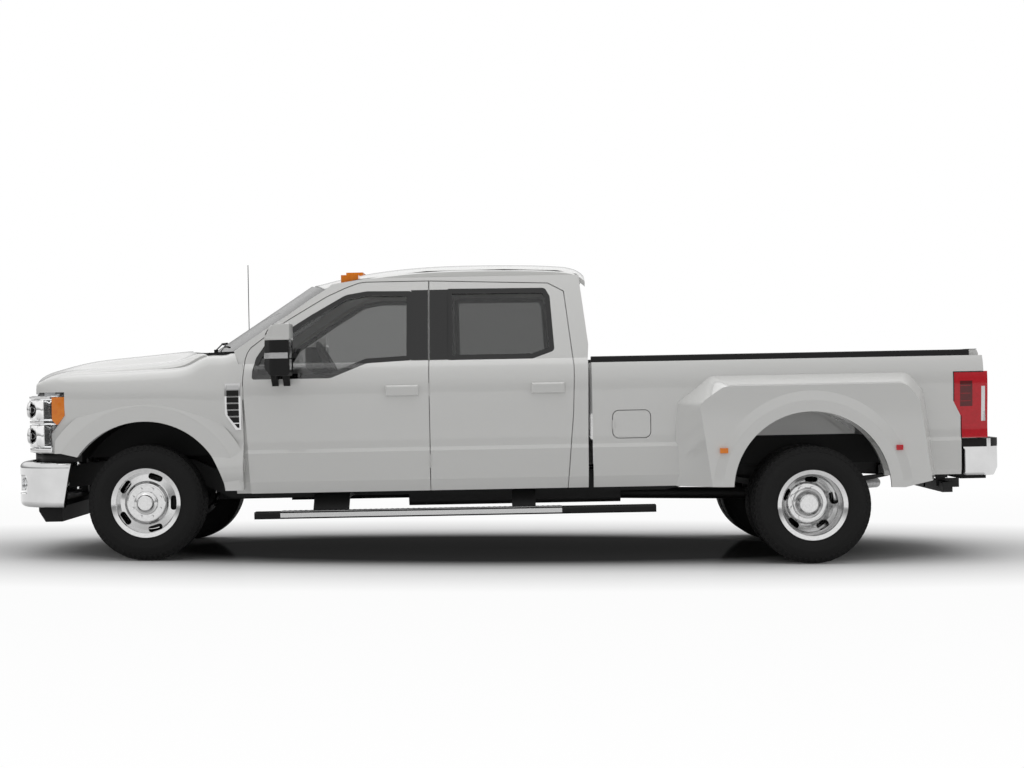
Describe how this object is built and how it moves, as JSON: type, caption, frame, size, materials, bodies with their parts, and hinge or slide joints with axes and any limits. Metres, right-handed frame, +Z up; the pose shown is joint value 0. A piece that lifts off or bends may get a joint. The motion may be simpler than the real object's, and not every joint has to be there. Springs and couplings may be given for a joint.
{
  "type": "crew-cab pickup truck with twin rear wheels",
  "caption": "Full-size crew-cab, long-bed pickup with twin rear wheels; its wheels roll and steer, and its doors, hood, tailgate and filler lid open.",
  "frame": {"origin": "on the ground, below the centre of the overall box", "axes": "+X to the tail, +Y to the vehicle's right side, +Z up"},
  "size_m": [6.7587, 2.592, 2.1157],
  "materials": {
    "body_paint": "gloss white paint",
    "bed_paint": "white paint, worn on the load floor",
    "frame_black": "satin black",
    "cast_metal": "rough cast",
    "exhaust_steel": "dull steel",
    "tank_plastic": "matt",
    "carpet": "short pile",
    "cabin_plastic": "grained",
    "seat_fabric": "woven",
    "black_plastic": "grained",
    "chrome": "polished",
    "lamp_glass": "clear lens",
    "amber_lens": "clear amber",
    "red_lens": "clear red",
    "tinted_glass": "tinted",
    "tyre": "matt black",
    "wheel_metal": "polished"
  },
  "bodies": {
    "root": {"chassis_frame": "frame_black", "engine_and_gearbox": "cast_metal", "exhaust": "exhaust_steel", "fuel_tank": "tank_plastic", "front_axle": "frame_black", "rear_axle": "frame_black", "springs_and_dampers": "frame_black", "cab_floor": "carpet", "cab_sides": "body_paint", "cab_back": "body_paint", "cab_roof": "body_paint", "cab_glass": "tinted_glass", "dashboard": "cabin_plastic", "steering_wheel": "cabin_plastic", "front_seats": "seat_fabric", "rear_bench": "seat_fabric", "front_fenders": "body_paint", "wheel_liners": "black_plastic", "fender_vents": "chrome", "wipers": "black_plastic", "grille": "chrome", "radiator": "black_plastic", "headlamps": "lamp_glass", "front_bumper": "chrome", "valance": "black_plastic", "cowl": "black_plastic", "antenna": "black_plastic", "amber_lamps": "amber_lens", "running_boards": "black_plastic", "bed": "bed_paint", "box_sides": "body_paint", "rear_flares": "body_paint", "rail_caps": "black_plastic", "tail_lamps": "red_lens", "rear_bumper": "chrome"},
    "hood": {"hood": "body_paint"},
    "tailgate": {"tailgate": "body_paint"},
    "fuel_door": {"fuel_door": "body_paint"},
    "tie_rod": {"tie_rod": "frame_black"},
    "front_door_left": {"front_door_left": "body_paint", "front_glass_left": "tinted_glass", "mirror_left": "black_plastic"},
    "rear_door_left": {"rear_door_left": "body_paint", "rear_glass_left": "tinted_glass"},
    "knuckle_left": {"knuckle_left": "cast_metal"},
    "front_wheel_left": {"front_tyre_left": "tyre", "front_wheel_left": "wheel_metal"},
    "rear_wheels_left": {"rear_tyres_left": "tyre", "rear_wheels_left": "wheel_metal"},
    "front_door_right": {"front_door_right": "body_paint", "front_glass_right": "tinted_glass", "mirror_right": "black_plastic"},
    "rear_door_right": {"rear_door_right": "body_paint", "rear_glass_right": "tinted_glass"},
    "knuckle_right": {"knuckle_right": "cast_metal"},
    "front_wheel_right": {"front_tyre_right": "tyre", "front_wheel_right": "wheel_metal"},
    "rear_wheels_right": {"rear_tyres_right": "tyre", "rear_wheels_right": "wheel_metal"}
  },
  "joints": [
    {"name": "front_door_left_hinge", "type": "hinge", "parent": "root", "child": "front_door_left", "pos_m": [-1.7604, -1.01, 0.91288], "axis": [0.0192, 0, -0.9998], "range_deg": [0, 70]},
    {"name": "rear_door_left_hinge", "type": "hinge", "parent": "root", "child": "rear_door_left", "pos_m": [-0.50463, -1.01, 0.93699], "axis": [0.0192, 0, -0.9998], "range_deg": [0, 70]},
    {"name": "steer_left", "type": "hinge", "parent": "root", "child": "knuckle_left", "pos_m": [-2.4225, -0.79, 0.392], "axis": [0, 0, 1], "range_deg": [-35, 35]},
    {"name": "front_wheel_left_spin", "type": "hinge", "parent": "knuckle_left", "child": "front_wheel_left", "pos_m": [-2.4225, -0.8675, 0.392], "axis": [0, 1, 0], "continuous": true},
    {"name": "rear_wheels_left_spin", "type": "hinge", "parent": "root", "child": "rear_wheels_left", "pos_m": [2.0475, -0.94, 0.392], "axis": [0, 1, 0], "continuous": true},
    {"name": "front_door_right_hinge", "type": "hinge", "parent": "root", "child": "front_door_right", "pos_m": [-1.7604, 1.01, 0.91288], "axis": [-0.0192, 0, 0.9998], "range_deg": [0, 70]},
    {"name": "rear_door_right_hinge", "type": "hinge", "parent": "root", "child": "rear_door_right", "pos_m": [-0.50463, 1.01, 0.93699], "axis": [-0.0192, 0, 0.9998], "range_deg": [0, 70]},
    {"name": "steer_right", "type": "hinge", "parent": "root", "child": "knuckle_right", "pos_m": [-2.4225, 0.79, 0.392], "axis": [0, 0, 1], "range_deg": [-35, 35]},
    {"name": "front_wheel_right_spin", "type": "hinge", "parent": "knuckle_right", "child": "front_wheel_right", "pos_m": [-2.4225, 0.8675, 0.392], "axis": [0, 1, 0], "continuous": true},
    {"name": "rear_wheels_right_spin", "type": "hinge", "parent": "root", "child": "rear_wheels_right", "pos_m": [2.0475, 0.94, 0.392], "axis": [0, 1, 0], "continuous": true},
    {"name": "tie_rod_slide", "type": "slide", "parent": "root", "child": "tie_rod", "axis": [0, 1, 0], "range_m": [-0.068, 0.068]},
    {"name": "hood_hinge", "type": "hinge", "parent": "root", "child": "hood", "pos_m": [-1.995, 0, 1.43647], "axis": [0, 1, 0], "range_deg": [0, 48]},
    {"name": "tailgate_hinge", "type": "hinge", "parent": "root", "child": "tailgate", "pos_m": [3.22008, 0, 0.85748], "axis": [0, 1, 0], "range_deg": [0, 90]},
    {"name": "fuel_door_hinge", "type": "hinge", "parent": "root", "child": "fuel_door", "pos_m": [0.72935, -0.997, 0.92368], "axis": [0.0192, 0, -0.9998], "range_deg": [0, 100]}
  ],
  "couplings": [
    {"joint": "steer_right", "follows": "steer_left", "ratio": 1},
    {"joint": "tie_rod_slide", "follows": "steer_left", "m_per_rad": 0.11}
  ]
}
